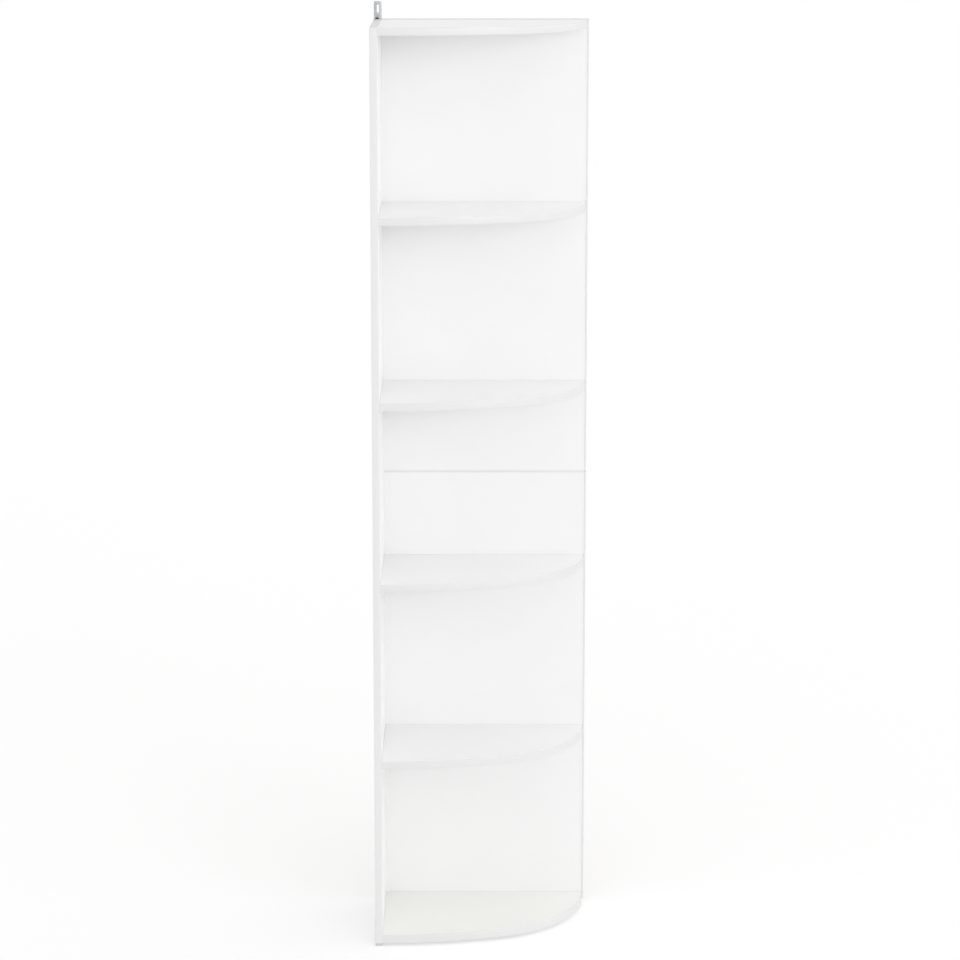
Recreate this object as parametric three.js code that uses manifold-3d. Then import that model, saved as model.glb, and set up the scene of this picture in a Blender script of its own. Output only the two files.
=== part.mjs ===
// Corner shelf unit: a tall side panel, a thin two-sheet back and six boards with a quarter-oval plan.
//
// Millimetres, +Z up, +Y to the wall. The finished group has its origin on the floor, at the middle of
// the unit's width and depth. Inside it the pieces are laid out from the inner back corner: x from the
// side panel's inner face to the right, y from the back sheets' front face (the front is negative) and
// z from the floor.

import * as THREE from 'three';
import { mergeVertices } from 'three/addons/utils/BufferGeometryUtils.js';
import Module from 'manifold-3d';

const wasm = await Module();
wasm.setup();

// The whole unit
const overallWidth = 550;
const overallDepth = 350;
const overallHeight = 2364;
const shelfCount = 4;

// Boards. Seen from above their edge is a flat front arc that turns by the angle here, in degrees, and
// then meets a tighter corner arc. Both arcs meet their panel squarely.
const frontArcTurn = 16.7;
const sidePanelThickness = 19;
const boardThickness = 19;
const bottomPanelThickness = 22;
const edgeBandThickness = 1;
const glueLine = 0.25;

// Back sheets and the plastic profiles on their edges
const backSheetThickness = 3;
const backSheetInset = 1.5;
const backSheetFloorClearance = 2;
const profileWall = 0.75;
const profileClearance = 0.25;
const sideTrimLeg = 4.5;
const topTrimHeight = 2;
const jointStripHeight = 5;
const jointStripEndClearance = 0.5;

// Cam locks, cam bolts and a dowel, alike at the left end of every board
const fitGap = 0.3;
const camRadius = 7.5;
const camInset = 24;
const camHeadroom = 4;
const camRowSetback = 64;
const camBoltThreadRadius = 2.5;
const camBoltThreadLength = 11;
const camBoltRadius = 3;
const camBoltNeckRadius = 1.8;
const camBoltNeckLength = 4;
const camBoltHeadLength = 3;
const camCrossLength = 8;
const camCrossWidth = 2;
const camCrossDepth = 2.5;
const dowelRadius = 4;
const dowelDepthInPanel = 12;
const dowelDepthInBoard = 18;

// Wall bracket and its screw
const bracketWidth = 20;
const bracketInset = 1;
const bracketFootLength = 30;
const bracketHeight = 46;
const bracketThickness = 2;
const bracketBendRadius = 3;
const bracketCornerRadius = 3;
const bracketSlotWidth = 5.5;
const bracketSlotLength = 20;
const bracketSlotTopMargin = 9;
const bracketScrewSetback = 16;
const screwRadius = 2;
const screwLength = 25;
const screwHeadRadius = 4.5;
const screwHeadHeight = 3.6;

// Glides, each with a nail moulded into it
const glideHeight = 8;
const glideLength = 38;
const glideChamfer = 2;
const glideEndSetback = 1;
const glideEdgeSetback = 45;
const glideBackSetback = 30;
const glideNailRadius = 1.25;
const glideNailLength = 14;
const frontGlideShare = 0.6;

// How far a cutting solid runs past the face that it cuts
const cutOverrun = 2;

// Facets
const frontArcSteps = 7;
const cornerArcSteps = 17;
const camSides = 16;
const pinSides = 8;
const roundEndSteps = 6;

// Lengths that follow from the sizes above
const innerRight = overallWidth - sidePanelThickness;
const backStack = backSheetThickness + profileClearance + profileWall;
const boardDepth = overallDepth - backStack;
const boardWidth = innerRight - sideTrimLeg - profileClearance;
const arcTurn = THREE.MathUtils.degToRad(frontArcTurn);
const radiusStep = (boardWidth - boardDepth) / (Math.sin(arcTurn) + Math.cos(arcTurn) - 1);
const cornerRadius = boardDepth - radiusStep * (1 - Math.cos(arcTurn));
const frontRadius = cornerRadius + radiusStep;
const bandedInset = edgeBandThickness + glueLine;
const bottomLevel = glideHeight + bottomPanelThickness;
const shelfPitch = (overallHeight - bottomLevel) / (shelfCount + 1);
const backSheetBottom = glideHeight + backSheetFloorClearance;
const backSheetTop = overallHeight - profileClearance;
const backSheetLeft = backSheetInset - sidePanelThickness;
const backSheetRight = innerRight - profileWall - profileClearance;
const backSeam = (backSheetBottom + backSheetTop) / 2;
const sheetSeamGap = profileWall / 2 + profileClearance;
const bracketLeft = bracketInset - sidePanelThickness;
const bracketScrewX = -sidePanelThickness / 2;
const bracketScrewY = backStack - bracketScrewSetback;
const glideWidth = sidePanelThickness;

// Every board with the level of its upper face, from the floor up
const boards = [{ name: 'bottom_panel', level: bottomLevel, thickness: bottomPanelThickness }];
for (let i = 1; i <= shelfCount; i += 1) {
  boards.push({ name: `shelf_${i}`, level: bottomLevel + i * shelfPitch, thickness: boardThickness });
}
boards.push({ name: 'top_panel', level: overallHeight, thickness: boardThickness });

// Places along a board's left end, measured from the back
const camRows = [
  { place: 'front', y: camRowSetback - boardDepth },
  { place: 'rear', y: -camRowSetback },
];
const dowelRow = -boardDepth / 2;

/** Position-only copy of a geometry with shared vertices merged and collapsed triangles left out. */
function plain(geometry) {
  const bare = geometry.clone();
  bare.deleteAttribute('normal');
  bare.deleteAttribute('uv');
  const merged = mergeVertices(bare);
  const kept = [];
  const corners = merged.index.array;
  for (let i = 0; i < corners.length; i += 3) {
    const [a, b, c] = [corners[i], corners[i + 1], corners[i + 2]];
    if (a !== b && b !== c && c !== a) kept.push(a, b, c);
  }
  merged.setIndex(kept);
  return merged;
}

/** Closed geometry as a solid that can be joined and cut. */
function toSolid(geometry) {
  const closed = plain(geometry);
  return new wasm.Manifold(new wasm.Mesh({
    numProp: 3,
    vertProperties: Float32Array.from(closed.attributes.position.array),
    triVerts: Uint32Array.from(closed.index.array),
  }));
}

/** Solid back as a geometry. */
function toGeometry(solid) {
  const mesh = solid.getMesh();
  const geometry = new THREE.BufferGeometry();
  geometry.setAttribute('position', new THREE.BufferAttribute(mesh.vertProperties, 3));
  geometry.setIndex(new THREE.BufferAttribute(mesh.triVerts, 1));
  return geometry;
}

/** The body with every cutter taken out of it. */
function cut(body, cutters) {
  let solid = toSolid(body);
  for (const cutter of cutters) solid = solid.subtract(toSolid(cutter));
  return toGeometry(solid);
}

/** Block between two opposite corners. */
function block(low, high) {
  const size = high.map((value, i) => value - low[i]);
  const geometry = new THREE.BoxGeometry(...size);
  return geometry.translate(low[0] + size[0] / 2, low[1] + size[1] / 2, low[2] + size[2] / 2);
}

/** Rod from the origin up the z axis. */
function rod(radius, length, sides) {
  return new THREE.CylinderGeometry(radius, radius, length, sides)
    .rotateX(Math.PI / 2)
    .translate(0, 0, length / 2);
}

/** Turned piece about the z axis. The profile's [radius, height] points run upwards, axis to axis. */
function turned(profile, sides) {
  const points = profile.map(([radius, height]) => new THREE.Vector2(radius, height));
  return new THREE.LatheGeometry(points, sides).rotateX(Math.PI / 2);
}

/** Flat outline in x and y as a prism from z = 0 up. */
function prism(points, height) {
  return new THREE.ExtrudeGeometry(new THREE.Shape(points), { depth: height, bevelEnabled: false });
}

/** Swings a piece that stands on the origin so that it points along +X. */
function pointRight(geometry) {
  return geometry.rotateY(Math.PI / 2);
}

/** Swings a piece that stands on the origin so that it points along -Y, to the front. */
function pointForward(geometry) {
  return geometry.rotateX(Math.PI / 2);
}

/** Moves a geometry. */
function at(geometry, x, y, z) {
  return geometry.translate(x, y, z);
}

/** Named mesh with a finish of its own, at its place. */
function piece(name, geometry, finish, x = 0, y = 0, z = 0) {
  const mesh = new THREE.Mesh(plain(geometry), new THREE.MeshStandardMaterial(finish));
  mesh.name = name;
  mesh.position.set(x, y, z);
  return mesh;
}

// Finishes
const melamine = { color: 0xf6f6f6, roughness: 0.42, metalness: 0 };
const lacqueredBoard = { color: 0xf0f0f0, roughness: 0.5, metalness: 0 };
const edgeBand = { color: 0xe2e2e2, roughness: 0.38, metalness: 0 };
const greyTrim = { color: 0xe3e3e4, roughness: 0.45, metalness: 0 };
const zincSteel = { color: 0xb9bbbd, roughness: 0.38, metalness: 1 };
const blackSteel = { color: 0x303133, roughness: 0.45, metalness: 1 };
const zincCasting = { color: 0xa9abad, roughness: 0.5, metalness: 1 };
const beech = { color: 0xd0a878, roughness: 0.7, metalness: 0 };
const greyPlastic = { color: 0xd0d1d1, roughness: 0.55, metalness: 0 };

// Centres of the plan's two arcs, and the direction in which they meet
const cornerCentre = new THREE.Vector2(boardWidth - cornerRadius, 0);
const frontCentre = new THREE.Vector2(0, frontRadius - boardDepth);
const meet = arcTurn - Math.PI / 2;

/** The curved edge of a board, from the side panel to the back, moved in by an inset. */
function curvedEdge(inset) {
  const arc = ({ x, y }, radius, start, end) => new THREE.EllipseCurve(x, y, radius, radius, start, end);
  const frontArc = arc(frontCentre, frontRadius - inset, -Math.PI / 2, meet);
  const cornerArc = arc(cornerCentre, cornerRadius - inset, meet, 0);
  return [...frontArc.getPoints(frontArcSteps), ...cornerArc.getPoints(cornerArcSteps).slice(1)];
}

/** How far forward a board reaches at a distance from the side panel. */
function frontEdgeAt(x) {
  const onFrontArc = x < frontRadius * Math.cos(meet);
  const centre = onFrontArc ? frontCentre : cornerCentre;
  const radius = onFrontArc ? frontRadius : cornerRadius;
  return centre.y - Math.sqrt(radius ** 2 - (x - centre.x) ** 2);
}

/** Board with its pockets and holes, its upper face at z = 0. */
function makeBoard(thickness) {
  const outline = [new THREE.Vector2(0, 0), ...curvedEdge(bandedInset)];
  const middle = -thickness / 2;
  const pocketDepth = thickness / 2 + camHeadroom;
  const holes = [];
  for (const { y } of camRows) {
    holes.push(at(rod(camRadius, pocketDepth + cutOverrun, camSides), camInset, y, -thickness - cutOverrun));
    const bore = pointRight(rod(camBoltRadius + fitGap, camInset + cutOverrun, pinSides));
    holes.push(at(bore, -cutOverrun, y, middle));
  }
  const dowelHole = rod(dowelRadius + fitGap, dowelDepthInBoard + fitGap + cutOverrun, pinSides);
  holes.push(at(pointRight(dowelHole), -cutOverrun, dowelRow, middle));
  return cut(at(prism(outline, thickness), 0, 0, -thickness), holes);
}

/** Band on the curved edge of a board, its upper edge at z = 0. */
function makeCurvedBand(thickness) {
  const outline = [...curvedEdge(0), ...curvedEdge(edgeBandThickness).reverse()];
  return at(prism(outline, thickness), 0, 0, -thickness);
}

/** Hole for a glide nail, up into whatever the glide is under. */
function glideNailHole(place) {
  const depth = glideNailLength + fitGap;
  const hole = rod(glideNailRadius + fitGap, depth + cutOverrun, pinSides);
  return at(hole, place.x, place.y, glideHeight - cutOverrun);
}

// Where the four glides stand: the middle of each
const frontGlideX = frontGlideShare * boardWidth;
const glides = [
  { name: 'glide_side_front', x: -glideWidth / 2, y: glideEndSetback + glideLength / 2 - boardDepth },
  { name: 'glide_side_rear', x: -glideWidth / 2, y: -glideEndSetback - glideLength / 2 },
  {
    name: 'glide_board_front',
    x: frontGlideX,
    y: frontEdgeAt(frontGlideX + glideWidth / 2) + glideEdgeSetback + glideLength / 2,
  },
  {
    name: 'glide_board_rear',
    x: boardWidth - glideEdgeSetback - glideWidth / 2,
    y: -glideBackSetback - glideLength / 2,
  },
];
const [sideGlides, boardGlides] = [glides.slice(0, 2), glides.slice(2)];

/** Side panel with the holes for bolts, dowels, glide nails and the bracket's screw. */
function makeSidePanel() {
  const low = [-sidePanelThickness, bandedInset - boardDepth, glideHeight];
  const high = [0, 0, overallHeight - bandedInset];
  const holes = [];
  for (const { level, thickness } of boards) {
    const z = level - thickness / 2;
    const boltDepth = camBoltThreadLength + fitGap;
    for (const { y } of camRows) {
      const hole = pointRight(rod(camBoltThreadRadius + fitGap, boltDepth + cutOverrun, pinSides));
      holes.push(at(hole, -boltDepth, y, z));
    }
    const dowelDepth = dowelDepthInPanel + fitGap;
    const dowelHole = pointRight(rod(dowelRadius + fitGap, dowelDepth + cutOverrun, pinSides));
    holes.push(at(dowelHole, -dowelDepth, dowelRow, z));
  }
  for (const glide of sideGlides) holes.push(glideNailHole(glide));
  const screwDepth = screwLength - bracketThickness + fitGap;
  const screwHole = rod(screwRadius + fitGap, screwDepth + cutOverrun, pinSides);
  holes.push(at(screwHole, bracketScrewX, bracketScrewY, overallHeight - screwDepth));
  return cut(block(low, high), holes);
}

/** U-shaped trim over the free edge of a back sheet, from z = 0 up. */
function makeSideTrim(length) {
  const rear = backStack;
  const front = -profileClearance - profileWall;
  const left = innerRight - sideTrimLeg;
  const outline = [
    [left, front], [innerRight, front], [innerRight, rear], [left, rear],
    [left, rear - profileWall], [innerRight - profileWall, rear - profileWall],
    [innerRight - profileWall, front + profileWall], [left, front + profileWall],
  ].map(([x, y]) => new THREE.Vector2(x, y));
  return prism(outline, length);
}

/** H-shaped strip that holds the two back sheets edge to edge, centred on z = 0. */
function makeJointStrip() {
  const left = jointStripEndClearance;
  const right = innerRight - sideTrimLeg - jointStripEndClearance;
  const rear = backStack;
  const front = -profileClearance - profileWall;
  const half = jointStripHeight / 2;
  const web = profileWall / 2;
  const outline = [
    [front, -half], [front + profileWall, -half], [front + profileWall, -web], [rear - profileWall, -web],
    [rear - profileWall, -half], [rear, -half], [rear, half], [rear - profileWall, half],
    [rear - profileWall, web], [front + profileWall, web], [front + profileWall, half], [front, half],
  ].map(([y, z]) => new THREE.Vector2(y, z));
  const strip = prism(outline, right - left).rotateX(Math.PI / 2).rotateZ(Math.PI / 2);
  return at(strip, left, 0, 0);
}

/** Cam lock with the way in for its bolt and a cross for the driver, its lower face at z = 0. */
function makeCamLock(thickness) {
  const radius = camRadius - fitGap;
  const height = thickness / 2 + camHeadroom - 2 * fitGap;
  const axis = thickness / 2 - fitGap;
  const reach = camBoltRadius + fitGap;
  const way = block([-radius - cutOverrun, -reach, axis - reach], [reach, reach, axis + reach]);
  const [long, short] = [camCrossLength / 2, camCrossWidth / 2];
  const crossBars = [[long, short], [short, long]].map(([x, y]) => (
    block([-x, -y, -cutOverrun], [x, y, camCrossDepth])
  ));
  return cut(rod(radius, height, camSides), [way, ...crossBars]);
}

/** Cam bolt along +X: its thread is behind x = 0 and its head ahead of it. */
function makeCamBolt() {
  const tip = camInset + camBoltRadius;
  const head = tip - camBoltHeadLength;
  const neck = head - camBoltNeckLength;
  return pointRight(turned([
    [0, -camBoltThreadLength],
    [camBoltThreadRadius, -camBoltThreadLength],
    [camBoltThreadRadius, 0],
    [camBoltRadius, 0],
    [camBoltRadius, neck],
    [camBoltNeckRadius, neck],
    [camBoltNeckRadius, head],
    [camBoltRadius, head],
    [camBoltRadius, tip],
    [0, tip],
  ], pinSides));
}

/** Dowel along +X, with x = 0 where the board meets the side panel. */
function makeDowel() {
  const dowel = rod(dowelRadius, dowelDepthInPanel + dowelDepthInBoard, pinSides);
  return at(pointRight(dowel), -dowelDepthInPanel, 0, 0);
}

/** Angle bracket: its foot lies on z = 0, and its upright's rear face is at y = 0. */
function makeBracket() {
  const inner = bracketBendRadius - bracketThickness;
  const bend = [-bracketBendRadius, bracketBendRadius];
  const outerBend = new THREE.EllipseCurve(...bend, bracketBendRadius, bracketBendRadius, -Math.PI / 2, 0);
  const innerBend = new THREE.EllipseCurve(...bend, inner, inner, 0, -Math.PI / 2, true);
  const section = [
    new THREE.Vector2(-bracketFootLength, 0),
    ...outerBend.getPoints(roundEndSteps),
    new THREE.Vector2(0, bracketHeight),
    new THREE.Vector2(-bracketThickness, bracketHeight),
    ...innerBend.getPoints(roundEndSteps),
    new THREE.Vector2(-bracketFootLength, bracketThickness),
  ];
  const angle = prism(section, bracketWidth).rotateX(Math.PI / 2).rotateZ(Math.PI / 2);
  const slotRadius = bracketSlotWidth / 2;
  const slotMiddle = bracketHeight - bracketSlotTopMargin - bracketSlotLength / 2;
  const slotReach = bracketSlotLength / 2 - slotRadius;
  const slot = [];
  for (const [turn, offset] of [[0, slotReach], [Math.PI, -slotReach]]) {
    const end = new THREE.EllipseCurve(0, offset, slotRadius, slotRadius, turn, turn + Math.PI);
    slot.push(...end.getPoints(roundEndSteps));
  }
  const slotDepth = bracketThickness + 2 * cutOverrun;
  const slotCutter = at(pointForward(prism(slot, slotDepth)), bracketWidth / 2, cutOverrun, slotMiddle);
  const screwHole = at(
    rod(screwRadius + fitGap, bracketThickness + 2 * cutOverrun, pinSides),
    bracketScrewX - bracketLeft, -bracketScrewSetback, -cutOverrun,
  );
  const outer = new THREE.Shape();
  const r = bracketCornerRadius;
  outer.moveTo(0, -cutOverrun);
  outer.lineTo(bracketWidth, -cutOverrun);
  outer.lineTo(bracketWidth, bracketHeight - r);
  outer.absarc(bracketWidth - r, bracketHeight - r, r, 0, Math.PI / 2);
  outer.absarc(r, bracketHeight - r, r, Math.PI / 2, Math.PI);
  const sleeve = prism(outer.getPoints(roundEndSteps / 2), bracketFootLength + 2 * cutOverrun);
  const rounded = toSolid(angle).intersect(toSolid(at(pointForward(sleeve), 0, cutOverrun, 0)));
  return cut(toGeometry(rounded), [slotCutter, screwHole]);
}

/** Pan-head screw with the underside of its head at z = 0 and its shank below. */
function makeScrew() {
  const rim = screwHeadHeight / 3;
  return turned([
    [0, -screwLength],
    [screwRadius, screwRadius - screwLength],
    [screwRadius, 0],
    [screwHeadRadius, 0],
    [screwHeadRadius, rim],
    [screwHeadRadius - rim, screwHeadHeight],
    [0, screwHeadHeight],
  ], camSides);
}

/** Glide under the plane z = 0, chamfered along its lower edges, with its nail standing up. */
function makeGlide() {
  const half = glideWidth / 2;
  const outline = [
    [-half, 0], [-half, glideChamfer - glideHeight], [glideChamfer - half, -glideHeight],
    [half - glideChamfer, -glideHeight], [half, glideChamfer - glideHeight], [half, 0],
  ].map(([x, z]) => new THREE.Vector2(x, z));
  const body = at(pointForward(prism(outline, glideLength)), 0, glideLength / 2, 0);
  const nail = rod(glideNailRadius, glideHeight / 2 + glideNailLength, pinSides);
  return toGeometry(toSolid(body).add(toSolid(at(nail, 0, 0, -glideHeight / 2))));
}

// Side panel with its two flat bands
const carcass = new THREE.Group();
carcass.add(piece('side_panel', makeSidePanel(), melamine));
carcass.add(piece(
  'side_panel_front_band',
  block([-sidePanelThickness, -boardDepth, glideHeight], [0, edgeBandThickness - boardDepth, overallHeight]),
  edgeBand,
));
const topBand = block(
  [-sidePanelThickness, bandedInset - boardDepth, overallHeight - edgeBandThickness],
  [0, 0, overallHeight],
);
const topBandHole = rod(screwRadius + fitGap, edgeBandThickness + 2 * cutOverrun, pinSides);
const topBandHoleLow = overallHeight - edgeBandThickness - cutOverrun;
carcass.add(piece(
  'side_panel_top_band',
  cut(topBand, [at(topBandHole, bracketScrewX, bracketScrewY, topBandHoleLow)]),
  edgeBand,
));

// Boards and their curved bands
for (const { name, level, thickness } of boards) {
  let board = makeBoard(thickness);
  if (name === 'bottom_panel') {
    board = cut(board, boardGlides.map((glide) => at(glideNailHole(glide), 0, 0, -level)));
  }
  carcass.add(piece(name, board, melamine, 0, 0, level));
  carcass.add(piece(`${name}_edge_band`, makeCurvedBand(thickness), edgeBand, 0, 0, level));
}

// Back sheets, the trims on their free edges and the strip between them
const back = new THREE.Group();
const sheets = [
  { half: 'lower', low: backSheetBottom, high: backSeam - sheetSeamGap },
  { half: 'upper', low: backSeam + sheetSeamGap, high: backSheetTop },
];
for (const { half, low, high } of sheets) {
  const sheet = block([backSheetLeft, 0, 0], [backSheetRight, backSheetThickness, high - low]);
  back.add(piece(`back_sheet_${half}`, sheet, lacqueredBoard, 0, 0, low));
  back.add(piece(`back_side_trim_${half}`, makeSideTrim(high - low), greyTrim, 0, 0, low));
}
back.add(piece('back_joint_strip', makeJointStrip(), greyTrim, 0, 0, backSeam));
const topTrimLeft = bracketLeft + bracketWidth + profileClearance;
const topTrim = block([topTrimLeft, 0, 0], [innerRight, backSheetThickness, topTrimHeight]);
back.add(piece('back_top_trim', topTrim, greyTrim, 0, 0, overallHeight));

// Cam locks, cam bolts and a dowel at the left end of every board
const fittings = new THREE.Group();
for (const { name, level, thickness } of boards) {
  const middle = level - thickness / 2;
  const lockLevel = level - thickness + fitGap;
  for (const { place, y } of camRows) {
    const lock = makeCamLock(thickness);
    fittings.add(piece(`${name}_cam_lock_${place}`, lock, zincCasting, camInset, y, lockLevel));
    fittings.add(piece(`${name}_cam_bolt_${place}`, makeCamBolt(), zincSteel, 0, y, middle));
  }
  fittings.add(piece(`${name}_dowel`, makeDowel(), beech, 0, dowelRow, middle));
}

// Wall bracket and its screw
fittings.add(piece('wall_bracket', makeBracket(), zincSteel, bracketLeft, backStack, overallHeight));
const screwSeat = overallHeight + bracketThickness;
fittings.add(piece('bracket_screw', makeScrew(), blackSteel, bracketScrewX, bracketScrewY, screwSeat));

// Glides
const feet = new THREE.Group();
for (const { name, x, y } of glides) feet.add(piece(name, makeGlide(), greyPlastic, x, y, glideHeight));

// The unit, moved so that its origin is on the floor at the middle of its width and depth
const unit = new THREE.Group();
unit.name = 'corner_shelf_unit';
unit.add(carcass, back, fittings, feet);
unit.position.set(sidePanelThickness - overallWidth / 2, overallDepth / 2 - backStack, 0);

export default unit;
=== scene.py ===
"""Corner shelf unit: the finished look of its boards, back, bracket and fittings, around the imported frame.

Sizes are in millimetres and measured as on the bench: x from the side panel's inner face to the right,
y from the front face of the back sheets towards the wall, z from the floor. A mesh is moved into the
frame and turned to metres when it is made.
"""

import logging
import math
from collections.abc import Callable, Iterable, Sequence
from dataclasses import dataclass, field, replace
from enum import Enum
from typing import Any

import bmesh
import bpy
import numpy as np
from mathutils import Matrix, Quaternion, Vector


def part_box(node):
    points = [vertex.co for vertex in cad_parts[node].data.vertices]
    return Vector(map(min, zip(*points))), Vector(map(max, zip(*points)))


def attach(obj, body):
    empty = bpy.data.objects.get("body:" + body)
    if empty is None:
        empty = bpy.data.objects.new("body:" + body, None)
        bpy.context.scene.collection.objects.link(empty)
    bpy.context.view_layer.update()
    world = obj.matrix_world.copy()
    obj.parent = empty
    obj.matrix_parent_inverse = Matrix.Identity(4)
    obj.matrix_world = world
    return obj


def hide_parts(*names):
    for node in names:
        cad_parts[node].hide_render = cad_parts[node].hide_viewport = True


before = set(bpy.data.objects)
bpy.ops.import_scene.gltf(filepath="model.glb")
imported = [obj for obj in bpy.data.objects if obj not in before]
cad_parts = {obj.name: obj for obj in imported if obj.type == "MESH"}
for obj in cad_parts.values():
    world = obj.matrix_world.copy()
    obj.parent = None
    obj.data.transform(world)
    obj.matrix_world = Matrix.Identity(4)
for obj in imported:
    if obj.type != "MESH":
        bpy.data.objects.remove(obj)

LOG = logging.getLogger("corner_shelf_unit")
MM = 0.001
BODY = "root"
SHELVES = 4

# Play of a fitting in its hole, and how far a cutter stands out past what it cuts.
CLEARANCE = 0.3

# Points closer than this are one point of a seam.
SEAM = 0.001

# Curve points to an eased upright edge, less one.
ARRIS_STEPS = 2

# Length of a nail's point in radii of its shank.
NAIL_POINT = 3

# Noise values between which a finish's first colour turns into its second.
PATCH_NOISE = (0.35, 0.65)

# Octaves of the noise in a finish's patches and in its grain, and how far the wires of a screen wander.
PATCH_DETAIL, GRAIN_DETAIL, WIRE_WANDER = 3.0, 2.0, 0.2

# Painted shade at the bottom of a hollow and painted highlight at the top of a ridge, as shares of the
# colour.
HOLLOW_PAINTED_SHADE_SHARE, RIDGE_PAINTED_HIGHLIGHT_SHARE = 0.78, 1.08

Numbers = Sequence[float] | np.ndarray
Relief = Callable[[np.ndarray, np.ndarray], np.ndarray]


class Axis(Enum):
    """The axis that a piece lies along, as the order in which (across, across, along) become x, y, z."""

    X = (2, 0, 1)
    Y = (1, 2, 0)
    Z = (0, 1, 2)


class Pattern(Enum):
    """How the grain of a finish is laid out."""

    MOTTLE = "even grain"
    CHIPS = "pressed wood particles"
    SCREEN = "imprint of a wire screen"


class Half(Enum):
    """The two sheets of the back, by where they are."""

    LOWER = "lower"
    UPPER = "upper"


class Row(Enum):
    """The two rows of cam fittings, by where they are."""

    FRONT = "front"
    REAR = "rear"


def linear_colour(code: int) -> tuple[float, float, float, float]:
    """Turns an sRGB hex value into the linear colour that a shader reads.

    A level of 0.04045 or less is divided by 12.92; any other becomes ((level + 0.055) / 1.055) to the 2.4.

    Args:
        code: Colour as 0xRRGGBB.

    Returns:
        Linear red, green, blue and an alpha of 1.
    """
    levels = np.array([code >> 16 & 255, code >> 8 & 255, code & 255]) / 255
    linear = np.where(levels <= 0.04045, levels / 12.92, ((levels + 0.055) / 1.055) ** 2.4)
    return (*(float(level) for level in linear), 1.0)


def add_node(tree: bpy.types.NodeTree, kind: str, inputs: dict[Any, Any] | None = None,
             **settings: Any) -> bpy.types.NodeSocket | None:
    """Adds a node with its settings, its input values and its links.

    Args:
        tree: Node tree that takes the node.
        kind: Blender's name for the kind of node.
        inputs: Values by socket name or number; an output socket as value is linked instead.
        **settings: Properties of the node itself.

    Returns:
        The node's first output that is in use, or None where it has none.
    """
    node = tree.nodes.new(kind)
    for name, value in settings.items():
        setattr(node, name, value)
    for name, value in (inputs or {}).items():
        if isinstance(value, bpy.types.NodeSocket):
            tree.links.new(value, node.inputs[name])
        else:
            node.inputs[name].default_value = value
    return next((socket for socket in node.outputs if socket.enabled), None)


def named_output(socket: bpy.types.NodeSocket, name: str) -> bpy.types.NodeSocket:
    """Another output of the node that a socket belongs to."""
    return socket.node.outputs[name]


def empty_tree(owner: bpy.types.Material | bpy.types.World) -> bpy.types.NodeTree:
    """Switches nodes on and clears them.

    Args:
        owner: Material or world.

    Returns:
        Its node tree, empty.
    """
    owner.use_nodes = True
    owner.node_tree.nodes.clear()
    return owner.node_tree


def placed(name: str, data: bpy.types.ID) -> bpy.types.Object:
    """Makes an object and links it into the scene.

    Args:
        name: Name of the object.
        data: Its mesh, light or camera.

    Returns:
        The object, at the origin.
    """
    made = bpy.data.objects.new(name, data)
    bpy.context.scene.collection.objects.link(made)
    return made


def merge_seams(mesh: bpy.types.Mesh) -> None:
    """Makes one point of the points that a seam has in the same place, and turns the faces outwards.

    Args:
        mesh: Closed mesh, in metres.
    """
    merged = bmesh.new()
    merged.from_mesh(mesh)
    bmesh.ops.remove_doubles(merged, verts=merged.verts, dist=SEAM * MM)
    bmesh.ops.recalc_face_normals(merged, faces=merged.faces)
    merged.to_mesh(mesh)
    merged.free()


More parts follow.
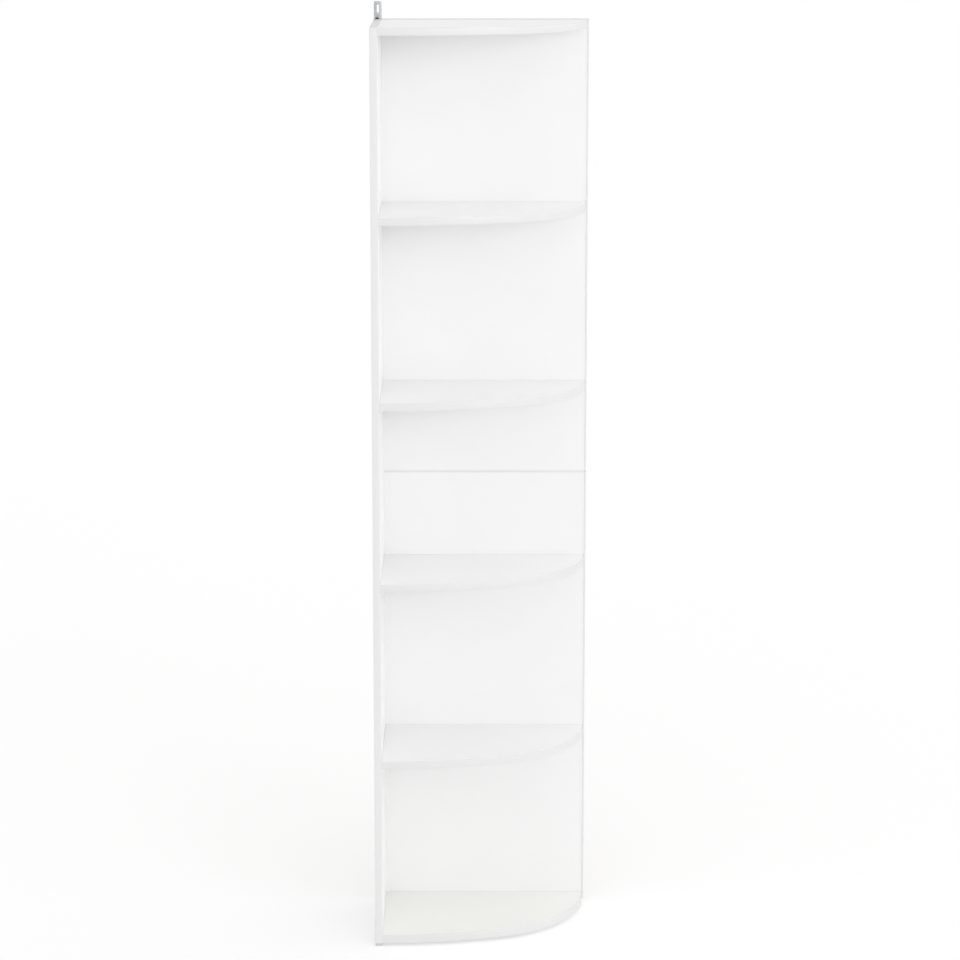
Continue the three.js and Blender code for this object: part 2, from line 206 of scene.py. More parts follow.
@dataclass(frozen=True)
class Finish:
    """A real material and how its surface was made. Lengths are in millimetres.

    Attributes:
        name: Common name and how it was made.
        slot: The record's material slot; not used.
        colour: Main colour, sRGB.
        second_colour: Colour of the patches in it, sRGB.
        patch: Width of a patch.
        grain: Distance between the grains of the relief.
        roughness: Mean roughness.
        roughness_swing: How far the roughness strays from its mean.
        relief: Height of the relief.
        run: How far the grain is drawn out along x, y and z.
        pattern: Layout of the grain.
        metallic: 1 for bare metal.
        ior: Refractive index of a finish that isn't metal.
    """

    name: str
    slot: str
    colour: int
    second_colour: int
    patch: float
    grain: float
    roughness: float
    roughness_swing: float = 0.03
    relief: float = 0.01
    run: tuple[float, float, float] = (1.0, 1.0, 1.0)
    pattern: Pattern = Pattern.MOTTLE
    metallic: float = 0.0
    ior: float = 1.5

    def counted(self, tree: bpy.types.NodeTree, size: float) -> bpy.types.NodeSocket:
        """Place on the piece counted in grains of a size, drawn out along the run.

        Args:
            tree: The material's node tree.
            size: Width of a grain in millimetres.

        Returns:
            Socket with the counted place.
        """
        place = named_output(add_node(tree, "ShaderNodeTexCoord"), "Object")
        scale = [1 / (size * MM * stretch) for stretch in self.run]
        return add_node(tree, "ShaderNodeMapping", {"Vector": place, "Scale": scale})

    def relief_height(self, tree: bpy.types.NodeTree) -> bpy.types.NodeSocket:
        """Height of the surface from 0 to 1, as the pattern lays it out.

        Args:
            tree: The material's node tree.

        Returns:
            Socket with the height.
        """
        place = self.counted(tree, self.grain)
        if self.pattern is Pattern.CHIPS:
            return add_node(tree, "ShaderNodeTexVoronoi", {"Vector": place, "Scale": 1.0})
        if self.pattern is Pattern.SCREEN:
            wave = {"Vector": place, "Scale": 1 / math.tau, "Distortion": WIRE_WANDER}
            wires = [named_output(add_node(tree, "ShaderNodeTexWave", wave, bands_direction=way), "Fac")
                     for way in ("X", "Z")]
            return add_node(tree, "ShaderNodeMath", {0: wires[0], 1: wires[1]}, operation="MAXIMUM")
        return add_node(tree, "ShaderNodeTexNoise", {"Vector": place, "Scale": 1.0, "Detail": GRAIN_DETAIL})

    def surface_colour(self, tree: bpy.types.NodeTree, patches: bpy.types.NodeSocket,
                       relief: bpy.types.NodeSocket) -> bpy.types.NodeSocket:
        """Colour with its patches, with painted shade in the hollows and a painted highlight on the ridges of
        chips and of a screen's imprint.

        Args:
            tree: The material's node tree.
            patches: Wandering value that tells where the patches lie.
            relief: Height of the surface.

        Returns:
            Socket with the colour.
        """
        low, high = PATCH_NOISE
        share = add_node(tree, "ShaderNodeMapRange", {"Value": patches, "From Min": low, "From Max": high})
        colour = add_node(tree, "ShaderNodeMix", {
            "Factor": share, "A": linear_colour(self.colour), "B": linear_colour(self.second_colour),
        }, data_type="RGBA")
        if self.pattern is Pattern.MOTTLE:
            return colour
        # Painted shade in the relief's hollows and painted highlight on its ridges.
        depth = add_node(tree, "ShaderNodeMapRange",
                         {"Value": relief, "To Min": HOLLOW_PAINTED_SHADE_SHARE, "To Max": RIDGE_PAINTED_HIGHLIGHT_SHARE})
        return add_node(tree, "ShaderNodeVectorMath", {0: colour, 1: depth}, operation="MULTIPLY")

    def material(self) -> bpy.types.Material:
        """Builds the finish's material, or finds it if it has been built.

        Returns:
            Material with patches in its colour, relief in its normal and a roughness that wanders.
        """
        found = bpy.data.materials.get(self.name)
        if found:
            return found
        material = bpy.data.materials.new(self.name)
        tree = empty_tree(material)
        place = self.counted(tree, self.patch)
        patches = add_node(tree, "ShaderNodeTexNoise",
                           {"Vector": place, "Scale": 1.0, "Detail": PATCH_DETAIL})
        relief = self.relief_height(tree)
        colour = self.surface_colour(tree, patches, relief)
        bump = add_node(tree, "ShaderNodeBump", {"Height": relief, "Distance": self.relief * MM})
        low, high = self.roughness - self.roughness_swing, self.roughness + self.roughness_swing
        roughness = add_node(tree, "ShaderNodeMapRange", {"Value": patches, "To Min": low, "To Max": high})
        shader = add_node(tree, "ShaderNodeBsdfPrincipled", {
            "Base Color": colour, "Roughness": roughness, "Metallic": self.metallic, "IOR": self.ior,
            "Normal": bump,
        })
        add_node(tree, "ShaderNodeOutputMaterial", {"Surface": shader})
        return material


# Chipboard pressed with white decor paper: a satin white with the faint pearl of the press plate. The pearl
# is 0.6 mm in life and drawn at 1.5 mm so that it shows.
MELAMINE = Finish("melamine_faced_board_pressed", "white_melamine", 0xF8F8F8, 0xF7F7F7,
                  patch=90, grain=1.5, roughness=0.42, ior=1.55)

# The bottom panel is the same board from a batch with a slightly warmer paper, as the photograph shows.
WARM_MELAMINE = replace(MELAMINE, name="warm_melamine_faced_board_pressed", colour=0xF8F8F5,
                        second_colour=0xF7F7F3, patch=140)

# Cut edges of the board: pressed wood particles of 1 to 4 mm, bare and matt.
CHIPBOARD = Finish("bare_chipboard_sawn", "white_melamine", 0xC9A87C, 0x9E7C54,
                   patch=4, grain=2.5, roughness=0.85, roughness_swing=0.05, relief=0.25,
                   pattern=Pattern.CHIPS)

# Extruded ABS band, glued on and trimmed: satin, a little greyer than the board, with fine draw marks along
# it that are drawn at 0.8 mm, four times as wide as in life.
LEVEL_BAND = Finish("abs_edge_band_extruded_level", "white_edge_band", 0xE0E0E0, 0xDFDFDF,
                    patch=30, grain=0.8, roughness=0.4, run=(60, 60, 1), ior=1.54)
UPRIGHT_BAND = replace(LEVEL_BAND, name="abs_edge_band_extruded_upright", colour=0xE4E4E4,
                       second_colour=0xE3E3E3, run=(1, 1, 60))

# Hardboard, white side: roller-coated lacquer with an orange peel of about 2 mm.
LACQUER = Finish("white_hardboard_lacquered", "white_back_sheet", 0xEFEFEF, 0xEEEEEE,
                 patch=160, grain=2.2, roughness=0.5, roughness_swing=0.04, relief=0.015)

# Hardboard, rear side: bare brown fibre with the imprint of the press screen, a wire every 1.6 mm.
BARE_HARDBOARD = Finish("bare_hardboard_screen_pressed", "white_back_sheet", 0x97724F, 0x8D6947,
                        patch=14, grain=1.6, roughness=0.8, roughness_swing=0.05, relief=0.2,
                        pattern=Pattern.SCREEN)

# Extruded PVC profiles: pale grey and satin, with the unevenness of the die, finer than 0.3 mm in life and
# drawn at 0.8 mm so that it shows.
TRIM = Finish("grey_pvc_profile_extruded", "grey_trim", 0xE3E3E4, 0xE1E1E2,
              patch=40, grain=0.8, roughness=0.45, ior=1.53)

# The strip on the back's top edge is the same profile stock, painted a darker grey that stands in for the
# shade along the back's top edge, as the photograph shows.
TOP_TRIM_PAINTED_SHADE = replace(TRIM, name="grey_pvc_profile_with_painted_shade", colour=0xD6D6D7, second_colour=0xD4D4D5)

# Zinc-plated steel, pressed or turned: a cool grey with faint clouds from the plating bath. Its grain, finer
# than 0.1 mm in life, is drawn at 0.5 mm so that it shows.
ZINC_STEEL = Finish("zinc_plated_steel_pressed", "zinc_steel", 0xB9BBBD, 0xA9ABAE,
                    patch=6, grain=0.5, roughness=0.36, roughness_swing=0.08, metallic=1.0)

# Steel, phosphated: the crystals of the bath, 0.1 mm or less in life and drawn at 0.3 mm, leave it nearly
# black and satin, a little paler where they are thin.
BLACK_STEEL = Finish("black_phosphated_steel_screw", "black_steel", 0x303133, 0x3A3B3D,
                     patch=2, grain=0.3, roughness=0.45, roughness_swing=0.06, metallic=1.0)

# Zinc alloy, die cast: greyer and duller, with the fine skin of the die, drawn at 0.6 mm, about twice as
# coarse as in life.
ZINC_CASTING = Finish("zinc_alloy_die_cast", "zinc_casting", 0xA9ABAD, 0x9B9D9F,
                      patch=4, grain=0.6, roughness=0.5, roughness_swing=0.06, relief=0.03, metallic=1.0)

# Beech, turned: straight grain along the dowel, a fleck every 0.5 mm.
BEECH = Finish("beech_turned", "beech", 0xD0A878, 0xBE9060,
               patch=1.2, grain=0.5, roughness=0.7, roughness_swing=0.05, relief=0.05, run=(12, 1, 1))

# Polyethylene, injection moulded: pale grey with a fine spark-eroded skin, 0.1 mm from pit to pit in life
# and drawn at 0.6 mm so that it shows.
GREY_PLASTIC = Finish("grey_polyethylene_moulded", "grey_plastic", 0xD0D1D1, 0xCBCCCC,
                      patch=12, grain=0.6, roughness=0.55, roughness_swing=0.04, relief=0.02, ior=1.51)


@dataclass(frozen=True)
class Box:
    """A node's box on the bench, in millimetres."""

    low: np.ndarray
    high: np.ndarray

    @classmethod
    def of(cls, node: str) -> "Box":
        """The box of a node of the frame."""
        low, high = (np.array(corner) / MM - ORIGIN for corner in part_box(node))
        return cls(low, high)

    @property
    def centre(self) -> np.ndarray:
        """Middle of the box."""
        return (self.low + self.high) / 2

    @property
    def size(self) -> np.ndarray:
        """Width, depth and height."""
        return self.high - self.low


def bench_origin() -> np.ndarray:
    """Inner rear corner of the side panel, on the floor, in the frame's axes and in millimetres."""
    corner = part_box("side_panel")[1]
    return np.array([corner.x, corner.y, 0.0]) / MM


ORIGIN = bench_origin()


@dataclass
class Patch:
    """A stretch of surface.

    Attributes:
        points: Points in millimetres, one row each.
        faces: Corner numbers of each face.
    """

    points: np.ndarray
    faces: list[list[int]]


def grid(points: np.ndarray) -> Patch:
    """Lays quads over rows of points whose last column joins the first.

    The face at row i and column j has the corners (i, j), (i, j + 1), (i + 1, j + 1) and (i + 1, j).

    Args:
        points: Array of rows by columns by 3.

    Returns:
        The surface as a patch.
    """
    rows, columns = points.shape[:2]
    number = np.arange(rows * columns).reshape(rows, columns)
    after = np.roll(number, -1, axis=1)
    corners = [number[:-1], after[:-1], after[1:], number[1:]]
    return Patch(points.reshape(-1, 3), np.stack(corners, axis=-1).reshape(-1, 4).tolist())


def loft(rings: np.ndarray) -> list[Patch]:
    """Skins rows of points from ring to ring and closes the first and the last with a flat face."""
    around = list(range(rings.shape[1]))
    return [grid(rings), Patch(rings[0], [around[::-1]]), Patch(rings[-1], [around])]


def rectangle(low: Numbers, high: Numbers) -> np.ndarray:
    """Corners of a flat rectangle between two opposite corners."""
    return np.array([(low[0], low[1]), (high[0], low[1]), (high[0], high[1]), (low[0], high[1])])


def rounded(outline: Sequence[Numbers] | np.ndarray, radii: float | Sequence[float],
            steps: int = 4) -> np.ndarray:
    """Rounds the corners of a flat outline.

    Each corner becomes the curve (1 - t)^2 start + 2 t (1 - t) corner + t^2 end, which starts and ends one
    radius away from the corner on its two sides.

    Args:
        outline: Corners in order.
        radii: One radius for all corners, or one each.
        steps: Points to a corner, less one.

    Returns:
        Points of the rounded outline, in order.
    """
    corner = np.array(outline, float)[:, None, :]
    radius = np.broadcast_to(radii, len(corner)).reshape(-1, 1, 1)
    before = np.roll(corner, 1, axis=0) - corner
    after = np.roll(corner, -1, axis=0) - corner
    start = corner + radius * before / np.linalg.norm(before, axis=2, keepdims=True)
    end = corner + radius * after / np.linalg.norm(after, axis=2, keepdims=True)
    t = np.linspace(0, 1, steps + 1)[None, :, None]
    return ((1 - t) ** 2 * start + 2 * t * (1 - t) * corner + t**2 * end).reshape(-1, 2)


def bar(outline: np.ndarray, start: float, end: float, axis: Axis) -> list[Patch]:
    """Carries an outline along a straight line.

    Args:
        outline: Points across the bar, in the two axes that follow the bar's own in the round x, y, z.
        start: Where the bar starts along its axis.
        end: Where it ends.
        axis: Axis of the bar.

    Returns:
        Closed surface of the bar.
    """
    ends = [np.column_stack([outline, np.full(len(outline), along)]) for along in (start, end)]
    return loft(np.stack(ends)[:, :, list(axis.value)])


def block(low: Numbers, high: Numbers, arris: float) -> list[Patch]:
    """Upright block between two opposite corners whose four upright edges are eased by the arris."""
    return bar(rounded(rectangle(low, high), arris, ARRIS_STEPS), low[2], high[2], Axis.Z)


def turned(profile: Sequence[Numbers] | np.ndarray, centre: Numbers, axis: Axis, sides: int,
           relief: Relief | None = None) -> list[Patch]:
    """Swings a profile round an axis.

    A point of the surface is (r cos a, r sin a, h), where r and h are the profile's radius and height and
    the relief, a function of the angle a and the height h, is added to r.

    Args:
        profile: Radius and height of each point, from the axis to the axis.
        centre: Where the profile's zero stands.
        axis: Direction in which the height grows.
        sides: Points to a turn.
        relief: What is added to the radius, or None.

    Returns:
        Closed surface.
    """
    angle = np.linspace(0, math.tau, sides, endpoint=False)[None, :]
    radius, height = (np.repeat(np.array(profile, float)[:, k:k + 1], sides, axis=1) for k in (0, 1))
    if relief:
        radius = radius + np.where(radius > 0, relief(angle, height), 0.0)
    points = np.stack([radius * np.cos(angle), radius * np.sin(angle), height], axis=-1)
    return [grid(points[:, :, list(axis.value)] + np.array(centre, float))]


def refined(profile: Sequence[Numbers], step: float) -> np.ndarray:
    """Adds points along a profile so that no two are further apart than the step.

    Args:
        profile: Radius and height of each corner.
        step: Longest distance between points.

    Returns:
        The profile with its corners kept.
    """
    corners = np.array(profile, float)
    pieces = [
        np.linspace(a, b, max(1, math.ceil(np.linalg.norm(b - a) / step)), endpoint=False)
        for a, b in zip(corners[:-1], corners[1:], strict=True)
    ]
    return np.concatenate([*pieces, corners[-1:]])


def bore(box: Box, axis: Axis, radius: float, sides: int = 32) -> list[Patch]:
    """Cutter for a round hole along an axis through the middle of a box.

    Args:
        box: What the hole is for; the cutter is longer by the clearance at both ends.
        axis: Direction of the hole.
        radius: Radius of the hole.
        sides: Points to a turn.

    Returns:
        Closed surface.
    """
    along = axis.value.index(2)
    start = box.centre
    start[along] = box.low[along] - CLEARANCE
    length = box.size[along] + 2 * CLEARANCE
    return turned([(0, 0), (radius, 0), (radius, length), (0, length)], start, axis, sides)


@dataclass(frozen=True)
class Thread:
    """A screw's ridge, which rises once a pitch and climbs a pitch a turn.

    Attributes:
        pitch: Distance from ridge to ridge.
        height: Height of the ridge.
        start: Height on the screw where it starts.
        end: Height where it ends.
        fade: Length over which it rises at the start and sinks at the end.
    """

    pitch: float
    height: float
    start: float
    end: float
    fade: float = 1.5

    def __call__(self, angle: np.ndarray, height: np.ndarray) -> np.ndarray:
        """Rise of the ridge: its height times the square of the positive half of a climbing cosine.

        Args:
            angle: Angle round the screw.
            height: Height on the screw.

        Returns:
            What is added to the radius.
        """
        climb = np.cos(math.tau * height / self.pitch - angle)
        from_end = np.minimum(height - self.start, self.end - height)
        return self.height * np.clip(climb, 0, 1) ** 2 * np.clip(from_end / self.fade, 0, 1)


@dataclass(frozen=True)
class CrossRecess:
    """Recess for a cross-head driver."""

    length: float
    width: float
    depth: float
    arris: float

    def cutters(self, mouth: np.ndarray, inward: float) -> list[list[Patch]]:
        """Two blocks that cross.

        Args:
            mouth: Middle of the recess's mouth.
            inward: 1 where the recess goes up from its mouth and -1 where it goes down.

        Returns:
            Closed surface of each block.
        """
        levels = sorted((mouth[2] + inward * self.depth, mouth[2] - inward * CLEARANCE))
        blocks = []
        for long, short in ((self.length, self.width), (self.width, self.length)):
            reach = np.array([long, short]) / 2
            low, high = np.append(mouth[:2] - reach, levels[0]), np.append(mouth[:2] + reach, levels[1])
            blocks.append(block(low, high, self.arris))
        return blocks


@dataclass
class Shape:
    """A piece on its way from surfaces to a finished object, which stands for the node of its name.

    Attributes:
        name: Name of the finished piece.
        skin: Closed surface of the piece, in millimetres on the bench.
        finishes: Its finish, and the finish of its raw and cut faces where that differs.
        faced: Direction that the first finish faces where the second covers the rest, or None.
        both_sides: Whether the first finish also covers the faces that look the opposite way.
        cuts: Closed surfaces that are taken out of it.
        sharp: Angle in degrees from which an edge stays sharp.
        faced_share: How much of a face's normal lies along the faced direction, at least, where it is faced.
    """

    name: str
    skin: list[Patch]
    finishes: tuple[Finish, ...]
    faced: tuple[float, float, float] | None = None
    both_sides: bool = True
    cuts: list[list[Patch]] = field(default_factory=list)
    sharp: float = 30.0
    faced_share: float = 0.5

    def mesh(self, name: str, patches: list[Patch]) -> bpy.types.Mesh:
        """Joins patches into one mesh in the frame, in metres.

        Args:
            name: Name of the mesh.
            patches: Surfaces that share their seams.

        Returns:
            Mesh with merged seams and faces that point out.
        """
        firsts = np.cumsum([0] + [len(patch.points) for patch in patches[:-1]]).tolist()
        points = (np.concatenate([patch.points for patch in patches]) + ORIGIN) * MM
        faces = [[first + corner for corner in face]
                 for first, patch in zip(firsts, patches, strict=True) for face in patch.faces]
        mesh = bpy.data.meshes.new(name)
        mesh.from_pydata(points.tolist(), [], faces)
        merge_seams(mesh)
        for finish in self.finishes:
            mesh.materials.append(finish.material())
        return mesh

    def give_last_finish(self, mesh: bpy.types.Mesh, chosen: np.ndarray) -> None:
        """Gives the chosen faces of a mesh the last finish."""
        mesh.polygons.foreach_set("material_index", chosen.astype(int) * (len(self.finishes) - 1))

    def raw_faces(self, mesh: bpy.types.Mesh) -> np.ndarray:
        """Finds the faces that look away from the faced direction.

        Args:
            mesh: Mesh of the piece.

        Returns:
            True or false for each face.
        """
        normals = np.zeros(len(mesh.polygons) * 3)
        mesh.polygons.foreach_get("normal", normals)
        facing = normals.reshape(-1, 3) @ np.array(self.faced)
        return (np.abs(facing) if self.both_sides else facing) < self.faced_share

    def carve(self, piece: bpy.types.Object) -> None:
        """Takes the cuts out of a piece, one boolean each, and keeps the mesh that results.

        Where edges cross in one place a boolean leaves slivers between them, which the merge closes.

        Args:
            piece: Object that is cut.
        """
        cutters = []
        for cut in self.cuts:
            mesh = self.mesh("cut", cut)
            self.give_last_finish(mesh, np.ones(len(mesh.polygons)))
            cutters.append(placed("cut", mesh))
            boolean = piece.modifiers.new("cut", "BOOLEAN")
            boolean.operation = "DIFFERENCE"
            boolean.solver = "EXACT"
            boolean.object = cutters[-1]
        depsgraph = bpy.context.evaluated_depsgraph_get()
        carved = bpy.data.meshes.new_from_object(piece.evaluated_get(depsgraph))
        merge_seams(carved)
        piece.modifiers.clear()
        piece.data = carved
        carved.name = self.name
        for cutter in cutters:
            bpy.data.meshes.remove(cutter.data)

    def build(self) -> None:
        """Makes the finished object, dressed and riding on its body, and reports it."""
        mesh = self.mesh(self.name, self.skin)
        if self.faced:
            self.give_last_finish(mesh, self.raw_faces(mesh))
        piece = placed(self.name, mesh)
        if self.cuts:
            self.carve(piece)
        piece.data.polygons.foreach_set("use_smooth", np.ones(len(piece.data.polygons), bool))
        piece.data.set_sharp_from_angle(angle=math.radians(self.sharp))
        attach(piece, BODY)
        if self.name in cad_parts:
            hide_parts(self.name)
        LOG.info("%s: %d faces, %s", self.name, len(piece.data.polygons), self.finishes[0].name)


def build_all(shapes: Iterable[Shape]) -> None:
    """Builds shapes in order."""
    for shape in shapes:
        shape.build()


def full_length(name: str, outline: np.ndarray, axis: Axis, *finishes: Finish, **options: Any) -> Shape:
    """A piece that has one outline all along and is as long as its node.

    Args:
        name: Name of the node.
        outline: Points across the piece, as a bar takes them.
        axis: Axis of the piece.
        *finishes: Its finish, and the finish of its raw and cut faces where that differs.
        **options: Other fields of the shape.

    Returns:
        The piece.
    """
    box, along = Box.of(name), axis.value.index(2)
    return Shape(name, bar(outline, box.low[along], box.high[along], axis), finishes, **options)


@dataclass(frozen=True)
class Plan:
    """Plan of the boards: a flat front arc that turns into a tighter corner arc.

    Both arcs meet their panel squarely. With the front arc turning by t, the radii differ by
    (width - depth) / (sin t + cos t - 1), and the corner's radius is depth - difference (1 - cos t).
    """

    width: float
    depth: float
    front_turn: float = 16.7
    front_steps: int = 48
    corner_steps: int = 120

    def edge(self, inset: float) -> np.ndarray:
        """The curved edge from the side panel to the back.

        A point is the arc's centre plus (radius - inset) times (cos a, sin a).

        Args:
            inset: How far the curve lies inside the plan.

        Returns:
            Points in x and y.
        """
        turn = math.radians(self.front_turn)
        difference = (self.width - self.depth) / (math.sin(turn) + math.cos(turn) - 1)
        corner_radius = self.depth - difference * (1 - math.cos(turn))
        front_radius = corner_radius + difference
        meet = turn - math.pi / 2
        arcs = [
            ((0.0, front_radius - self.depth), front_radius, -math.pi / 2, meet, self.front_steps),
            ((self.width - corner_radius, 0.0), corner_radius, meet, 0.0, self.corner_steps),
        ]
        points = []
        for centre, radius, start, end, steps in arcs:
            angle = np.linspace(start, end, steps + 1)
            points.append(centre + (radius - inset) * np.column_stack([np.cos(angle), np.sin(angle)]))
        return np.concatenate([points[0], points[1][1:]])


@dataclass
class CamFitting:
    """A cam lock in a board, and the bolt that ties it to the side panel."""

    board: str
    row: Row
    lock_arris: float = 0.4
    lock_dish: float = 0.5
    lock_rim: float = 0.8
    bolt_radius: float = 3.0
    bolt_arris: float = 0.5
    neck_radius: float = 1.8
    neck_length: float = 4.0
    head_length: float = 3.0
    thread_root: float = 2.1
    thread: Thread = Thread(pitch=2.2, height=0.4, start=-11.0, end=0.0)
    thread_step: float = 0.4
    recess: CrossRecess = CrossRecess(length=8.0, width=2.0, depth=2.5, arris=0.3)
    pocket_sides: int = 48
    lock_sides: int = 64
    bolt_sides: int = 24

    def __post_init__(self) -> None:
        """Reads the boxes of the lock and the bolt."""
        self.lock_name = f"{self.board}_cam_lock_{self.row.value}"
        self.bolt_name = f"{self.board}_cam_bolt_{self.row.value}"
        self.lock_box, self.bolt_box = Box.of(self.lock_name), Box.of(self.bolt_name)

    def board_cuts(self) -> list[list[Patch]]:
        """The lock's pocket and the bolt's way in the board."""
        pocket = bore(self.lock_box, Axis.Z, self.lock_box.size[0] / 2 + CLEARANCE, self.pocket_sides)
        return [pocket, bore(self.bolt_box, Axis.X, self.bolt_radius + CLEARANCE)]

    def panel_cut(self) -> list[Patch]:
        """The bolt's hole in the side panel, which the thread cuts into."""
        return bore(self.bolt_box, Axis.X, self.thread_root + self.thread.height)

    def lock(self) -> Shape:
        """A cast drum with a rim and a dished face, a cross recess, and a way in for the bolt.

        Returns:
            The cam lock.
        """
        box, ease = self.lock_box, self.lock_arris
        radius, height = box.size[0] / 2, box.size[2]
        dished = radius - ease - self.lock_rim
        half_section = [
            (0, self.lock_dish), (dished - ease, self.lock_dish), (dished, 0), (radius - ease, 0),
            (radius, ease), (radius, height - ease), (radius - ease, height), (0, height),
        ]
        foot = np.append(box.centre[:2], box.low[2])
        reach = self.bolt_radius + CLEARANCE
        axis = np.append(foot[:2], self.bolt_box.centre[2])
        way = block(axis - [2 * radius, reach, reach], axis + reach, CLEARANCE)
        recess = self.recess.cutters(foot + [0, 0, self.lock_dish], 1)
        skin = turned(half_section, foot, Axis.Z, self.lock_sides)
        return Shape(self.lock_name, skin, (ZINC_CASTING,), cuts=[way, *recess])

    def bolt(self) -> Shape:
        """A coarse thread for the side panel, then a shank, a neck and a head for the cam.

        Returns:
            The cam bolt.
        """
        box, ease, radius = self.bolt_box, self.bolt_arris, self.bolt_radius
        tip = box.high[0]
        head = tip - self.head_length
        neck = head - self.neck_length
        half_section = refined([
            (0, box.low[0]), (self.thread_root - ease, box.low[0]), (self.thread_root, box.low[0] + ease),
            (self.thread_root, 0), (radius - ease, 0), (radius, ease), (radius, neck - ease),
            (self.neck_radius, neck), (self.neck_radius, head), (radius - ease, head), (radius, head + ease),
            (radius, tip - ease), (radius - ease, tip), (0, tip),
        ], self.thread_step)
        skin = turned(half_section, (0, *box.centre[1:]), Axis.X, self.bolt_sides, self.thread)
        return Shape(self.bolt_name, skin, (ZINC_STEEL,))


@dataclass
class Dowel:
    """Fluted beech dowel between a board and the side panel."""

    board: str
    flutes: int = 16
    flute_depth: float = 0.25
    chamfer: float = 1.0
    glue_gap: float = 0.1
    sides: int = 96
    step: float = 2.0

    def __post_init__(self) -> None:
        """Reads the dowel's box."""
        self.name = f"{self.board}_dowel"
        self.box = Box.of(self.name)

    def cut(self) -> list[Patch]:
        """The dowel's hole, in the board and in the side panel."""
        return bore(self.box, Axis.X, self.box.size[1] / 2 + self.glue_gap)

    def shape(self) -> Shape:
        """A chamfered rod whose radius dips by the flute depth at even angles.

        Returns:
            The dowel.
        """
        box, ease = self.box, self.chamfer
        radius, length = box.size[1] / 2, box.size[0]
        half_section = refined([(0, 0), (radius - ease, 0), (radius, ease), (radius, length - ease),
                                (radius - ease, length), (0, length)], self.step)

        def flute(angle: np.ndarray, _: np.ndarray) -> np.ndarray:
            """Half the flute depth times one less than a cosine that goes round once a flute."""
            return self.flute_depth / 2 * (np.cos(self.flutes * angle) - 1)

        skin = turned(half_section, (box.low[0], *box.centre[1:]), Axis.X, self.sides, flute)
        return Shape(self.name, skin, (BEECH,))


@dataclass
class Glide:
    """A moulded glide, held by a steel nail in its recess."""

    name: str
    corner: float = 2.0
    corner_steps: int = 5
    foot_radius: float = 2.0
    foot_points: int = 6
    recess_radius: float = 4.0
    recess_depth: float = 2.5
    nail_radius: float = 1.25
    nail_head_radius: float = 3.2
    nail_head_height: float = 1.0
    nail_head_arris: float = 0.3
    nail_sides: int = 24

    def __post_init__(self) -> None:
        """Reads the glide's box and the level of what it is nailed to."""
        self.box = Box.of(self.name)
        self.top = Box.of("side_panel").low[2]

    def cut(self) -> list[Patch]:
        """The nail's hole, through the glide and into what it is nailed to."""
        return bore(self.box, Axis.Z, self.nail_radius + CLEARANCE)

    def body(self) -> Shape:
        """Rounded rectangles at growing heights, drawn in towards the floor by a quarter round.

        At the angle a of the quarter round of radius r, the inset is r (1 - sin a) and the height
        r (1 - cos a). The last rectangle is the glide's top.

        Returns:
            The glide without its nail.
        """
        centre, half = self.box.centre[:2], self.box.size[:2] / 2
        angle = np.linspace(0, math.pi / 2, self.foot_points)
        insets = np.append(self.foot_radius * (1 - np.sin(angle)), 0.0)
        levels = np.append(self.foot_radius * (1 - np.cos(angle)), self.top)
        rings = []
        for inset, level in zip(insets, levels, strict=True):
            outline = rounded(rectangle(inset - half, half - inset), self.corner, self.corner_steps) + centre
            rings.append(np.column_stack([outline, np.full(len(outline), level)]))
        seat = Box(np.append(centre, 0.0), np.append(centre, self.recess_depth - CLEARANCE))
        cuts = [self.cut(), bore(seat, Axis.Z, self.recess_radius)]
        return Shape(self.name, loft(np.stack(rings)), (GREY_PLASTIC,), cuts=cuts)

    def nail(self) -> Shape:
        """A flat-headed nail from the recess to the top of the glide's box.

        Returns:
            The nail.
        """
        head, ease, shank = self.nail_head_radius, self.nail_head_arris, self.nail_radius
        seat, tip = self.recess_depth, self.box.high[2]
        foot = seat - self.nail_head_height
        half_section = [(0, foot), (head - ease, foot), (head, foot + ease), (head, seat), (shank, seat),
                        (shank, tip - NAIL_POINT * shank), (0, tip)]
        skin = turned(half_section, np.append(self.box.centre[:2], 0.0), Axis.Z, self.nail_sides)
        return Shape(f"{self.name}_nail", skin, (ZINC_STEEL,))

    def build(self) -> None:
        """Builds the glide and its nail."""
        build_all([self.body(), self.nail()])


